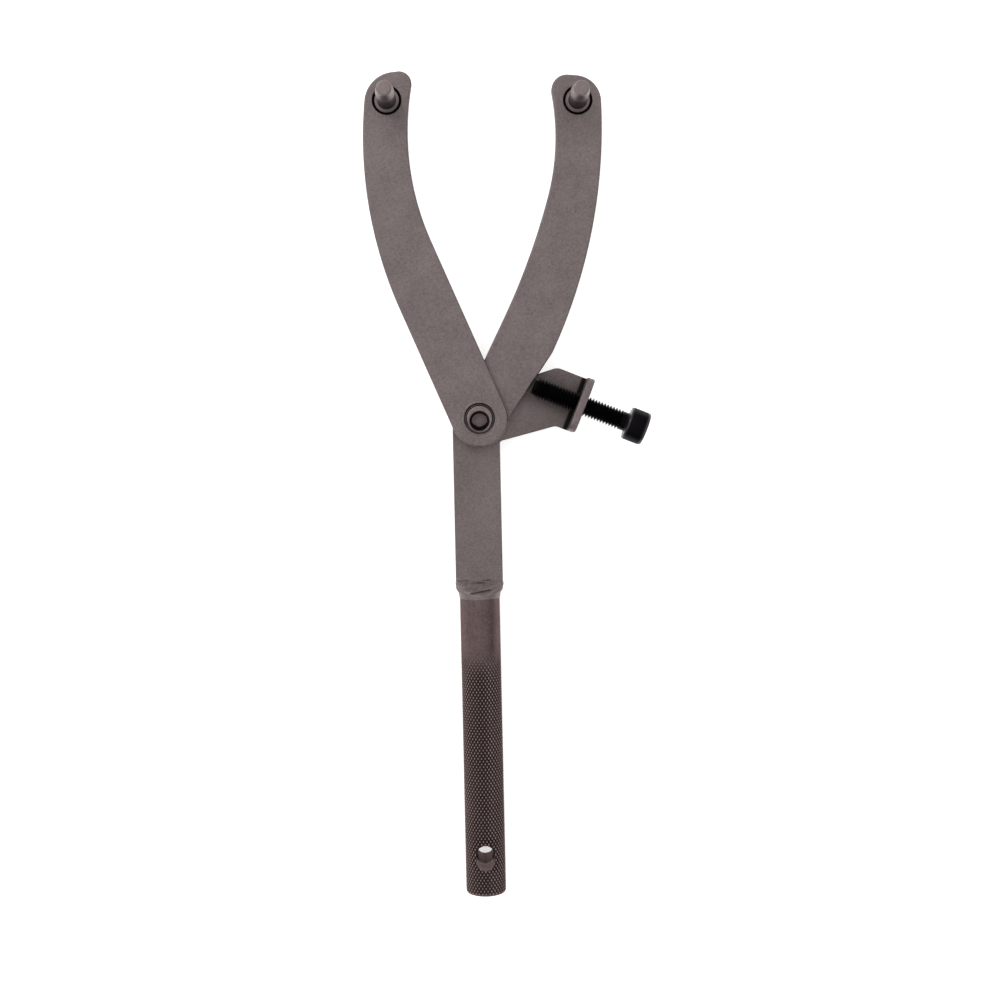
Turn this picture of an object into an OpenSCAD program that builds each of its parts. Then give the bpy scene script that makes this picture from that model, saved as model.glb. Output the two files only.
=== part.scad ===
// Two-arm pin spanner: two curved arms with face pins swing on one hollow rivet, at the
// end of a bent steel plate that is welded to a round rod handle. The plate's upturned
// flange carries a socket-head screw, whose end bears on the edge of the right arm.
// Millimetres. +Y runs from the pivot towards the pins, +Z is the side the pins stand on,
// and the origin is on the pivot axis, on the flat back of the rivet.

/* [Arms] */
// Distance from the pivot to the left arm's pin
left_reach = 131.4; // [115:0.1:158]
// Distance from the pivot to the right arm's pin
right_reach = 133.1; // [115:0.1:160]
// Thickness of each arm
arm_t = 4; // [3:0.1:6]
// Angle of the left arm's pin from +Y, towards -X
left_pin_angle = 15; // [8:0.1:30]
// Angle of the right arm's pin from +Y, towards +X
right_pin_angle = 18.4; // [12:0.1:24]
// Play between two plates that slide on each other
layer_gap = 0.15; // [0.05:0.05:0.4]

/* [Left arm outline] */
// Radius of the rounded end at the pivot, which is half the width of the straight part
left_end_r = 11.2; // [9:0.1:14]
// Lean of the straight part away from the line to the pin
left_lean = 7.8; // [5:0.1:11]
// Length of the outer edge before it curves
left_outer_run = 52.5; // [40:0.1:70]
// Length of the inner edge before it curves
left_inner_run = 71.9; // [60:0.1:80]

/* [Right arm outline] */
// Radius of the rounded end at the pivot
right_end_r = 9.7; // [9.2:0.1:11.6]
// Lean of the tapered edge that the screw bears on
right_taper_lean = 16.5; // [15:0.1:18]
// Lean of the right arm's outer edge where it leaves the taper
right_outer_lean = 7.7; // [6.5:0.1:9]
// Distance from the pivot to that outer edge, carried on as a straight line
right_outer_offset = 15.4; // [14.6:0.1:16.2]
// Lean of the inner edge
right_inner_lean = 8; // [7:0.1:10]
// Distance from the pivot to the inner edge's line
right_inner_offset = 8.2; // [7.2:0.1:9.1]
// Length of the inner edge before it curves
right_inner_run = 40; // [25:0.1:45]
// Radius of the inner edge's first, easy curve
right_easy_r = 290; // [250:1:400]
// Length of the easy curve
right_easy_len = 52; // [30:0.1:58]

/* [Left arm tip] */
// Radius of the tip's outer corner
left_tip_outer_r = 12.3; // [11:0.1:13]
// Centre of the outer corner's arc across the arm, from the pin
left_tip_outer_x = 3; // [2:0.1:4]
// Centre of the outer corner's arc along the arm, from the pin
left_tip_outer_y = -1.9; // [-3:0.1:-1]
// Radius of the tip's inner corner
left_tip_inner_r = 4.9; // [4:0.1:6]
// Centre of the inner corner's arc across the arm, from the pin
left_tip_inner_x = 6.6; // [6:0.1:7.5]
// Centre of the inner corner's arc along the arm, from the pin
left_tip_inner_y = 5; // [4:0.1:6]

/* [Right arm tip] */
// Radius of the tip's outer corner
right_tip_outer_r = 10.7; // [9.5:0.1:12]
// Centre of the outer corner's arc across the arm, from the pin
right_tip_outer_x = 1; // [0:0.1:2]
// Centre of the outer corner's arc along the arm, from the pin
right_tip_outer_y = -1; // [-2:0.1:0]
// Radius of the tip's inner corner
right_tip_inner_r = 6.1; // [5:0.1:7]
// Centre of the inner corner's arc across the arm, from the pin
right_tip_inner_x = 5.4; // [4.5:0.1:6.5]
// Centre of the inner corner's arc along the arm, from the pin
right_tip_inner_y = 2.7; // [2:0.1:4]

/* [Face pins] */
// Diameter of the pin's straight part
pin_d = 7.5; // [6:0.1:8.5]
// Height of the pin above its arm
pin_h = 20; // [12:0.1:30]
// Length of the pin's straight part
pin_straight = 13; // [8:0.1:13.5]
// Diameter of the pin's flat end, inside its rounded edge
pin_end_d = 4.6; // [3:0.1:5]
// Radius of the rounded edge at the pin's end
pin_end_r = 0.8; // [0.4:0.1:1]
// Diameter of the pin's foot in the arm
foot_d = 9.8; // [9:0.1:10.6]
// Width of the groove round the foot
groove_w = 0.8; // [0.4:0.1:1]
// Depth of the groove round the foot
groove_depth = 1.2; // [0.5:0.1:2]

/* [Pivot rivet] */
// Diameter of the rivet's shank
rivet_d = 10; // [8:0.1:11]
// Radial play of the arms on the shank
pivot_play = 0.05; // [0.02:0.01:0.1]
// Diameter of the rivet's head at the back
rivet_head_d = 16; // [14:0.1:18]
// Height of the head at the back
rivet_head_h = 2; // [1.5:0.1:3]
// Diameter of the clinched rim at the front
rim_d = 11.6; // [11.4:0.1:13]
// Thickness of the clinched rim
rim_h = 1; // [0.6:0.1:1.5]
// Radial gap round the rim, in the left arm's recess
rim_gap = 0.3; // [0.2:0.05:0.6]
// Diameter of the rivet's hollow
hollow_d = 6.7; // [5:0.1:7]
// Depth of the rivet's hollow
hollow_depth = 3.6; // [2:0.1:3.9]
// Chamfer at the hollow's mouth
hollow_chamfer = 0.5; // [0.2:0.1:0.8]

/* [Handle plate] */
// Thickness of the bent plate
plate_t = 3; // [2.5:0.1:4]
// Width of the handle bar
bar_w = 18.9; // [17:0.1:20]
// Distance from the pivot to the weld joint
bar_len = 67.5; // [55:0.5:85]
// Offset of the bar and the rod from the pivot, towards -X
bar_shift = 1.4; // [0:0.1:2]
// Distance below the pivot where the wing leaves the bar
wing_root = 9.2; // [6:0.1:12]

/* [Screw flange] */
// Width of the flange
flange_w = 22.2; // [19:0.1:25]
// Distance of the flange's middle from the screw, towards the handle
flange_shift = 0.4; // [0:0.1:1]
// Height of the flange above the plate
flange_h = 14.8; // [13:0.1:20]
// Inner radius of the bend
bend_r = 1.6; // [1:0.1:2.4]
// Distance from the pivot to the flange's inner face, along the screw
flange_at = 34; // [33:0.1:40]
// Length of the tab on its pin side, from the flange's inner face
tab_upper = 12.3; // [10:0.1:16]
// Length of the tab on its handle side, from the flange's inner face
tab_lower = 4.4; // [4.2:0.1:8]
// Radius of the flange's top corners
flange_corner_r = 4; // [1:0.1:5]
// Radius of the wing's corner on the pin side
shoulder_r = 5; // [2:0.1:6]
// Radius of the wing's corner on the handle side
wing_corner_r = 3; // [1:0.1:4]

/* [Adjusting screw] */
// Angle of the screw below +X
screw_angle = 22.6; // [18:0.1:26]
// Distance from the pivot axis to the screw's axis
screw_lever = 20; // [18.5:0.1:21]
// Height of the thread's underside above the plate
screw_clear = 0.6; // [0.4:0.1:1]
// Outer diameter of the thread
thread_d = 8; // [7:0.1:8.4]
// Radial play of the thread in the flange
thread_play = 0.05; // [0.02:0.01:0.1]
// Length of the screw under its head
screw_len = 40; // [34:1:50]
// Chamfer at the screw's end
screw_chamfer = 0.9; // [0.5:0.1:1.2]
// Gap between the screw's end and the right arm at rest
screw_gap = 0.3; // [0.25:0.05:0.4]
// Diameter of the screw's head
head_d = 13.3; // [12:0.1:14]
// Height of the screw's head
head_h = 8; // [6:0.1:10]
// Chamfer at the head's edges
head_chamfer = 0.6; // [0.3:0.1:1]
// Size of the hexagon socket across its flats
socket_af = 6; // [5:0.5:7]
// Depth of the hexagon socket
socket_depth = 4; // [3:0.1:4]

/* [Handle rod] */
// Diameter of the rod
rod_d = 16; // [14:0.1:18]
// Length of the rod, from the weld joint to its end
rod_len = 122.8; // [90:0.1:150]
// Chamfer at the rod's end
rod_chamfer = 1.2; // [0.5:0.1:2]
// Diameter of the cross hole
cross_d = 6.6; // [5:0.1:8]
// Chamfer at the cross hole's mouths
cross_chamfer = 0.6; // [0.3:0.1:1]
// Distance from the cross hole to the rod's end
cross_from_end = 16.9; // [10:0.1:25]

/* [Weld] */
// Length of plate that the weld covers
weld_on_bar = 3.8; // [2:0.1:6]
// Length of rod that the weld covers
weld_on_rod = 4.5; // [2:0.1:7]
// Height of the weld over the rod's surface
weld_rise = 0.4; // [0.2:0.1:0.8]

/* [Hidden] */
$fn = 96;
eps = 0.01;
steps = 18;
bend_lap = 1;

// Heights of the stack, from the back of the rivet's head
plate_z = rivet_head_h;
right_z = plate_z + plate_t + layer_gap;
left_z = right_z + arm_t + layer_gap;
front_z = left_z + arm_t;
screw_z = plate_z + plate_t + screw_clear + thread_d / 2;
rod_z = plate_z + plate_t / 2;

left_pin_at = [0, left_reach];
right_pin_at = [0, right_reach];
pivot_hole_r = rivet_d / 2 + pivot_play;
recess_r = rim_d / 2 + rim_gap;
recess_depth = rim_h + 2 * layer_gap;
screw_tip_r = thread_d / 2 - screw_chamfer;
// Angle between the screw and the square to the tapered edge, and the place along the
// screw where its end would touch that edge
bear_angle = right_pin_angle + right_taper_lean - screw_angle;
bear_at = (right_end_r + (screw_lever + screw_tip_r) * sin(bear_angle)) / cos(bear_angle);
screw_tip_at = bear_at + screw_gap;

function unit(v) = v / norm(v);
function turned(p, a) = [p[0] * cos(a) - p[1] * sin(a), p[0] * sin(a) + p[1] * cos(a)];
function arc(centre, r, from, to, n = steps) =
    [for (i = [0:n]) let (a = from + (to - from) * i / n) centre + r * [cos(a), sin(a)]];

// One rounded corner at b between a and c, and a whole outline of them
function corner(a, b, c, r) =
    let (u = unit(a - b), v = unit(c - b), half = acos(u * v) / 2)
    let (centre = b + unit(u + v) * r / sin(half), back = r / tan(half))
    let (p = b + u * back - centre, q = b + v * back - centre, from = atan2(p[1], p[0]))
    arc(centre, r, from, from + (atan2(q[1], q[0]) - from + 540) % 360 - 180);
function rounded(pts, radii) =
    let (n = len(pts))
    [for (i = [0:n - 1])
        each radii[i] == 0 ? [pts[i]] : corner(pts[(i + n - 1) % n], pts[i], pts[(i + 1) % n], radii[i])];

// An arm's edge leans to the left of +Y. These are the directions along and across it
function along(lean) = [-sin(lean), cos(lean)];
function across(lean) = [cos(lean), sin(lean)];
function edge_start(side, lean, offset) = side * offset * across(lean);
function meet(p, lean_p, q, lean_q) =
    p + along(lean_p) * ((q - p) * across(lean_q)) / (along(lean_p) * across(lean_q));
// The arc that leaves p along the lean and runs smoothly into the tip's corner circle.
// side is -1 on the outer edge and 1 on the inner one
function sweep_r(side, p, lean, c, r) =
    let (w = p - c) (r * r - w * w) / (2 * (w * across(lean) - side * r));
function sweep_end(side, p, lean, c, r) =
    let (o = p + sweep_r(side, p, lean, c, r) * across(lean)) atan2(o[1] - c[1], o[0] - c[0]);
function sweep(side, p, lean, c, r) =
    let (big = sweep_r(side, p, lean, c, r))
    arc(p + big * across(lean), big, 180 + lean, 180 + sweep_end(side, p, lean, c, r));

// The tip between the two edges' ends, which are leans, round two corner circles
function tip(outer_c, outer_r, outer_end, inner_c, inner_r, inner_end) =
    let (w = inner_c - outer_c)
    let (turn = atan2(w[1], w[0]) + acos((outer_r - inner_r) / norm(w)))
    concat(arc(outer_c, outer_r, 180 + outer_end, turn), arc(inner_c, inner_r, turn, inner_end));
function reversed(pts) = [for (i = [len(pts) - 1:-1:0]) pts[i]];
// Drops the points that two neighbouring stretches of an outline share
function joined(pts) =
    let (n = len(pts))
    [for (i = [0:n - 1]) if (norm(pts[i] - pts[(i + n - 1) % n]) > 0.001) pts[i]];

// The rounded end at the pivot, from the inner edge round to the outer one
function round_end(r, inner_angle, outer_lean) = arc([0, 0], r, inner_angle, outer_lean - 180, 2 * steps);

left_outer_c = left_pin_at + [left_tip_outer_x, left_tip_outer_y];
left_inner_c = left_pin_at + [left_tip_inner_x, left_tip_inner_y];
left_outer_bend = edge_start(-1, left_lean, left_end_r) + left_outer_run * along(left_lean);
left_inner_bend = edge_start(1, left_lean, left_end_r) + left_inner_run * along(left_lean);
left_outline = joined(concat(
    sweep(-1, left_outer_bend, left_lean, left_outer_c, left_tip_outer_r),
    tip(left_outer_c, left_tip_outer_r,
        sweep_end(-1, left_outer_bend, left_lean, left_outer_c, left_tip_outer_r),
        left_inner_c, left_tip_inner_r,
        sweep_end(1, left_inner_bend, left_lean, left_inner_c, left_tip_inner_r)),
    reversed(sweep(1, left_inner_bend, left_lean, left_inner_c, left_tip_inner_r)),
    round_end(left_end_r, left_lean, left_lean)));

right_outer_c = right_pin_at + [right_tip_outer_x, right_tip_outer_y];
right_inner_c = right_pin_at + [right_tip_inner_x, right_tip_inner_y];
right_knee = meet(edge_start(-1, right_taper_lean, right_end_r), right_taper_lean,
                  edge_start(-1, right_outer_lean, right_outer_offset), right_outer_lean);
right_easy_start = edge_start(1, right_inner_lean, right_inner_offset)
    + right_inner_run * along(right_inner_lean);
right_easy_centre = right_easy_start + right_easy_r * across(right_inner_lean);
right_easy_lean = right_inner_lean - right_easy_len / right_easy_r * 180 / PI;
right_inner_bend = right_easy_centre - right_easy_r * across(right_easy_lean);
right_end_angle = right_inner_lean + acos(right_inner_offset / right_end_r);
right_outline = joined(concat(
    sweep(-1, right_knee, right_outer_lean, right_outer_c, right_tip_outer_r),
    tip(right_outer_c, right_tip_outer_r,
        sweep_end(-1, right_knee, right_outer_lean, right_outer_c, right_tip_outer_r),
        right_inner_c, right_tip_inner_r,
        sweep_end(1, right_inner_bend, right_easy_lean, right_inner_c, right_tip_inner_r)),
    reversed(sweep(1, right_inner_bend, right_easy_lean, right_inner_c, right_tip_inner_r)),
    reversed(arc(right_easy_centre, right_easy_r, 180 + right_inner_lean, 180 + right_easy_lean)),
    round_end(right_end_r, right_end_angle, right_taper_lean)));

// The flat plate's outline in the screw's frame, whose x runs along the screw
tab_top = screw_lever - flange_shift + flange_w / 2;
tab_bottom = screw_lever - flange_shift - flange_w / 2;
bend_start = flange_at - bend_r;
bar_left = -bar_shift - bar_w / 2;
bar_right = -bar_shift + bar_w / 2;
bar_end_c = turned([-bar_shift, 0], screw_angle);
wing_shoulder = [flange_at - tab_upper, tab_top];
shoulder_way = wing_shoulder - bar_end_c;
wing_angle = atan2(shoulder_way[1], shoulder_way[0]) + acos(bar_w / 2 / norm(shoulder_way));
plate_outline = rounded(
    concat([turned([bar_left, -bar_len], screw_angle)],
           arc(bar_end_c, bar_w / 2, 180 + screw_angle, wing_angle),
           [wing_shoulder, [bend_start, tab_top], [bend_start, tab_bottom],
            [flange_at - tab_lower, tab_bottom],
            turned([bar_right, -wing_root], screw_angle),
            turned([bar_right, -bar_len], screw_angle)]),
    concat([for (i = [0:steps + 1]) 0], [shoulder_r, 0, 0, wing_corner_r, 0, 0]));

// A blank with its pivot hole and a seat for a pin's foot, standing on z = 0
module arm_blank(outline, pin_at) {
    difference() {
        linear_extrude(arm_t) polygon(outline);
        translate([0, 0, -eps]) cylinder(h = arm_t + 2 * eps, r = pivot_hole_r);
        translate([pin_at[0], pin_at[1], -eps]) cylinder(h = arm_t + 2 * eps, d = foot_d);
        translate([pin_at[0], pin_at[1], arm_t - groove_depth])
            cylinder(h = groove_depth + eps, r = foot_d / 2 + groove_w);
    }
}

module face_pin() {
    straight_top = arm_t + pin_straight;
    top = arm_t + pin_h;
    rotate_extrude() polygon(concat(
        [[0, 0], [foot_d / 2, 0], [foot_d / 2, arm_t], [pin_d / 2, arm_t], [pin_d / 2, straight_top]],
        arc([pin_end_d / 2, top - pin_end_r], pin_end_r, 20, 90),
        [[0, top]]));
}

module place_left() {
    rotate([0, 0, left_pin_angle]) translate([0, 0, left_z]) children();
}

module place_right() {
    rotate([0, 0, -right_pin_angle]) translate([0, 0, right_z]) children();
}

// x along the screw, y across it and z up, with the origin on the pivot axis
module screw_frame() {
    rotate([0, 0, -screw_angle]) children();
}

// The bend and the flange above it, one section carried along the bend line. It laps the
// flat plate by bend_lap
module flange_section() {
    out_x = flange_at + plate_t;
    top = plate_t + flange_h;
    bend_c = [bend_start, plate_t + bend_r];
    polygon(concat(
        [[bend_start - bend_lap, 0]], arc(bend_c, bend_r + plate_t, -90, 0),
        [[out_x, top], [flange_at, top]], arc(bend_c, bend_r, 0, -90),
        [[bend_start - bend_lap, plate_t]]));
}

module flange() {
    top = plate_t + flange_h;
    face = rounded([[0, tab_bottom], [top, tab_bottom], [top, tab_top], [0, tab_top]],
                   [0, flange_corner_r, flange_corner_r, 0]);
    intersection() {
        translate([0, tab_top, 0]) rotate([90, 0, 0]) linear_extrude(flange_w) flange_section();
        translate([bend_start - bend_lap, 0, 0]) rotate([0, -90, 0])
            mirror([0, 0, 1]) linear_extrude(bend_lap + bend_r + plate_t + 1) polygon(face);
    }
}

module handle_plate() {
    color([0.46, 0.42, 0.41]) screw_frame() translate([0, 0, plate_z]) difference() {
        union() {
            linear_extrude(plate_t) polygon(plate_outline);
            flange();
        }
        translate([0, 0, -eps]) cylinder(h = plate_t + 2 * eps, d = rivet_d);
        translate([bend_start, screw_lever, screw_z - plate_z]) rotate([0, 90, 0])
            cylinder(h = bend_r + plate_t + 1, r = thread_d / 2 + thread_play);
    }
}

module rod_profile() {
    polygon([[0, 0], [rod_d / 2, 0], [rod_d / 2, rod_len - rod_chamfer],
             [rod_d / 2 - rod_chamfer, rod_len], [0, rod_len]]);
}

module handle_rod() {
    color([0.36, 0.32, 0.31]) difference() {
        translate([-bar_shift, -bar_len, rod_z]) rotate([90, 0, 0]) rotate_extrude() rod_profile();
        translate([-bar_shift, -bar_len - rod_len + cross_from_end, rod_z]) {
            cylinder(h = rod_d + 2, d = cross_d, center = true);
            for (side = [0, 180]) rotate([side, 0, 0]) translate([0, 0, rod_d / 2 - cross_chamfer - 0.5])
                cylinder(h = cross_chamfer + 1, r1 = cross_d / 2 - 0.5, r2 = cross_d / 2 + cross_chamfer + 0.5);
        }
    }
}

module weld_bead() {
    half_w = bar_w / 2;
    bead_h = rod_d / 2 + weld_rise;
    color([0.55, 0.51, 0.5]) translate([-bar_shift, 0, rod_z]) difference() {
        hull() {
            translate([-half_w + 0.3, -bar_len + weld_on_bar - 0.2, -plate_t / 2 - 0.2])
                cube([bar_w - 0.6, 0.2, plate_t + 0.4]);
            translate([-half_w - 0.3, -bar_len - 0.4, -plate_t / 2 - 0.4])
                cube([bar_w + 0.6, 1.4, plate_t + 0.8]);
            translate([0, -bar_len - 0.4, 0]) rotate([90, 0, 0]) cylinder(h = 0.4, r = bead_h, $fn = 32);
            translate([0, -bar_len - weld_on_rod + 0.2, 0]) rotate([90, 0, 0])
                cylinder(h = 0.2, r = rod_d / 2 + 0.1, $fn = 32);
        }
        translate([-half_w, -bar_len, -plate_t / 2]) cube([bar_w, bar_len, plate_t]);
        translate([0, -bar_len, 0]) rotate([90, 0, 0]) cylinder(h = rod_len, d = rod_d);
    }
}

module pivot_rivet() {
    rim_bottom = front_z - recess_depth + layer_gap;
    rim_top = rim_bottom + rim_h;
    color([0.52, 0.48, 0.47]) rotate_extrude() polygon(concat(
        [[0, 0]],
        arc([rivet_head_d / 2 - 0.8, 0.8], 0.8, -90, 0),
        [[rivet_head_d / 2, rivet_head_h], [rivet_d / 2, rivet_head_h], [rivet_d / 2, rim_bottom],
         [rim_d / 2, rim_bottom], [rim_d / 2, rim_top], [hollow_d / 2 + hollow_chamfer, rim_top],
         [hollow_d / 2, rim_top - hollow_chamfer], [hollow_d / 2, rim_top - hollow_depth],
         [0, rim_top - hollow_depth]]));
}

module left_arm() {
    color([0.47, 0.43, 0.42]) place_left() difference() {
        arm_blank(left_outline, left_pin_at);
        translate([0, 0, arm_t - recess_depth]) cylinder(h = recess_depth + eps, r = recess_r);
    }
}

module left_pin() {
    color([0.5, 0.46, 0.45]) place_left() translate([left_pin_at[0], left_pin_at[1], 0]) face_pin();
}

module right_arm() {
    color([0.45, 0.41, 0.4]) place_right() mirror([1, 0, 0]) arm_blank(right_outline, right_pin_at);
}

module right_pin() {
    color([0.5, 0.46, 0.45]) place_right() translate([right_pin_at[0], right_pin_at[1], 0]) face_pin();
}

module adjusting_screw() {
    head_r = head_d / 2;
    head_top = screw_len + head_h;
    color([0.1, 0.1, 0.11]) screw_frame() translate([screw_tip_at, screw_lever, screw_z])
        rotate([0, 90, 0]) difference() {
            rotate_extrude() polygon([
                [0, 0], [screw_tip_r, 0], [thread_d / 2, screw_chamfer], [thread_d / 2, screw_len],
                [head_r - head_chamfer, screw_len], [head_r, screw_len + head_chamfer],
                [head_r, head_top - head_chamfer], [head_r - head_chamfer, head_top], [0, head_top]]);
            translate([0, 0, head_top - socket_depth]) linear_extrude(socket_depth + 1)
                circle(d = socket_af / cos(30), $fn = 6);
        }
}

handle_plate();
weld_bead();
handle_rod();
pivot_rivet();
left_arm();
left_pin();
right_arm();
right_pin();
adjusting_screw();
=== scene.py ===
"""Looks of an adjustable two-arm pin spanner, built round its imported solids.

Every shape is worked out in millimetres as grids of points, and piece() writes it in metres.
"""

import math

import bmesh
import bpy
import numpy as np
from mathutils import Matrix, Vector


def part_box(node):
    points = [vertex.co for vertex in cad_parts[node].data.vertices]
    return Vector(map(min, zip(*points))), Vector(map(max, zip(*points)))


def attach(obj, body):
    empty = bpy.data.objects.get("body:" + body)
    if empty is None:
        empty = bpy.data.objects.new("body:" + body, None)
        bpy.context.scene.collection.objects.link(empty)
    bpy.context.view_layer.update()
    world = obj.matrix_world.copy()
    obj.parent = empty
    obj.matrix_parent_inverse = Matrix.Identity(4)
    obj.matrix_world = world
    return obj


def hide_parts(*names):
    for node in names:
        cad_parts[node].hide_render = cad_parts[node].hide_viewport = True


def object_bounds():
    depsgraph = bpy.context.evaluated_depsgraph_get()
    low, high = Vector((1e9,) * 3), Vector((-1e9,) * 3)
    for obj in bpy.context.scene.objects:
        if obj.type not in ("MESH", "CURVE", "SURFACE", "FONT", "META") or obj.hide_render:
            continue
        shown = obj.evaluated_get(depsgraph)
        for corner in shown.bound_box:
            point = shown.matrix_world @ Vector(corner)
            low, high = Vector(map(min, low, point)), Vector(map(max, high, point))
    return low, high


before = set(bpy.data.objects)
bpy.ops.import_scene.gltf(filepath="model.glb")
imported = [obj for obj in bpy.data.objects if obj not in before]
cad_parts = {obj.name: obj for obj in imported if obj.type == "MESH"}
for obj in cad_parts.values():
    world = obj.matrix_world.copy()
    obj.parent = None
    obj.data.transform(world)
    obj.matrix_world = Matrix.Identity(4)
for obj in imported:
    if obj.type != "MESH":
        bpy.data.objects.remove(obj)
cad_low, cad_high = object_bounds()

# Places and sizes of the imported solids, in millimetres and degrees. The pivot's axis is Z.
# The screw's axis slopes down from +X by SCREW_ANGLE and passes SCREW_LEVER from the pivot.
# Its end at rest is SCREW_START along it, from the foot of the square line from the pivot,
# and the flange's inner face is FLANGE_AT along it. Its head begins SCREW_LEN from its end.
SCREW_ANGLE, SCREW_LEVER = 22.6, 20.0
SCREW_START, SCREW_LEN, SCREW_HEAD_R, SCREW_HOLE_R = 15.265, 40.0, 6.65, 4.05
PLATE_T, BEND_R, FLANGE_AT = 3.0, 1.6, 34.0
FLANGE_W, FLANGE_SHIFT = 22.2, 0.4
# From the pivot to each pin, and how far each arm leans from +Y, to its own side
LEFT_REACH, LEFT_ANGLE = 131.4, 15.0
RIGHT_REACH, RIGHT_ANGLE = 133.1, 18.4
ARM_T, PIVOT_HOLE_R, PIN_SEAT_R = 4.0, 5.05, 4.9
RECESS_R, RECESS_DEEP = 6.1, 1.3
BAR_SHIFT, BAR_W = 1.4, 18.9
ROD_R, CROSS_R, CROSS_FROM_END = 8.0, 3.3, 16.9
# Details that only the visual model has: the groove round a pin, how far the rivet's hollow
# is off towards -Y, and on the rod the knurl and the dish beside the cross hole
GROOVE_R, HOLLOW_OFF = 5.78, 1.0
KNURL_STARTS, KNURL_PITCH, KNURL_DEEP = 34, 2.2, 0.5
DISH_OFF, DISH_R = 2.9, 3.5


def span(node):
    """Lowest and highest corner of a CAD node, in millimetres."""
    low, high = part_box(node)
    return 1000 * np.array(low), 1000 * np.array(high)


# ---------------------------------------------------------------- plane curves


def unit(degrees):
    """The unit vector at each angle."""
    a = np.radians(degrees)
    return np.stack([np.cos(a), np.sin(a)], axis=-1)


def turned(points, degrees):
    """Points turned about the origin: x cos - y sin and x sin + y cos, with any height kept."""
    points = np.asarray(points, float)
    c, s = unit(degrees)
    x, y = points[..., 0], points[..., 1]
    flat = np.stack([x * c - y * s, x * s + y * c], axis=-1)
    return np.concatenate([flat, points[..., 2:]], axis=-1)


def arc(centre, radius, start, stop, steps=24):
    """Centre plus radius times the unit vector, at even angles from start to stop."""
    return np.asarray(centre) + radius * unit(np.linspace(start, stop, steps + 1))


def corner(a, b, c, radius, steps=12):
    """The arc that rounds the corner at b between a and c: its centre is on the bisector,
    radius over the sine of the half angle away."""
    a, b, c = (np.asarray(p, float) for p in (a, b, c))
    to_a, to_c = (a - b) / np.linalg.norm(a - b), (c - b) / np.linalg.norm(c - b)
    half = np.arccos(to_a @ to_c) / 2
    middle = b + (to_a + to_c) / np.linalg.norm(to_a + to_c) * radius / np.sin(half)
    p = b + to_a * radius / np.tan(half) - middle
    q = b + to_c * radius / np.tan(half) - middle
    start = np.degrees(np.arctan2(p[1], p[0]))
    swing = (np.degrees(np.arctan2(q[1], q[0])) - start + 180) % 360 - 180
    return arc(middle, radius, start, start + swing, steps)


def even(line, steps):
    """A line's points laid out again at even lengths, without its last point."""
    run = np.r_[0, np.cumsum(np.linalg.norm(np.diff(line, axis=0), axis=1))]
    at = np.linspace(0, run[-1], steps, endpoint=False)
    return np.stack([np.interp(at, run, line[:, k]) for k in range(line.shape[1])], axis=1)


def smooth(x):
    """A step from 0 to 1 with level ends: 3 x squared less 2 x cubed."""
    x = np.clip(x, 0, 1)
    return x * x * (3 - 2 * x)


# ---------------------------------------------------------------- grids


def level(points, z):
    """Plane points lifted to a height."""
    points = np.asarray(points, float)
    return np.concatenate([points, np.full(points.shape[:-1] + (1,), float(z))], axis=-1)


def rim(outline, profile):
    """A closed clockwise outline carried along a profile: each row of the profile is an inset
    and a height, and its points are the outline's moved in along their normals."""
    way = np.roll(outline, -1, axis=0) - np.roll(outline, 1, axis=0)
    out = np.stack([-way[:, 1], way[:, 0]], axis=1) / np.linalg.norm(way, axis=1)[:, None]
    return np.stack([level(outline - inset * out, z) for inset, z in profile])


def ruled(a, b, shares=(0, 0.04, 0.5, 0.96, 1)):
    """A flat face between two closed lines of as many points: a plus each share of b less a."""
    s = np.asarray(shares)[:, None, None]
    return a + s * (b - a)


def turned_round(profile, angles, centre=(0, 0)):
    """A profile of radius and height carried round an upright axis, one column per angle."""
    profile = np.asarray(profile, float)
    ring = profile[:, :1, None] * unit(angles)[None] + np.asarray(centre)
    height = np.broadcast_to(profile[:, 1, None, None], ring.shape[:2] + (1,))
    return np.concatenate([ring, height], axis=-1)


def edge(radius, low, high, steps=4):
    """Profile of a plate's edge: a quarter round at the top, the wall, and one at the bottom,
    as insets and heights."""
    a = np.linspace(0, 90, steps + 1)
    q = radius * (1 - unit(a))
    top = np.stack([q[:, 1], high - q[:, 0]], axis=1)
    bottom = np.stack([q[::-1, 1], low + q[::-1, 0]], axis=1)
    return np.vstack([top, bottom])


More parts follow.
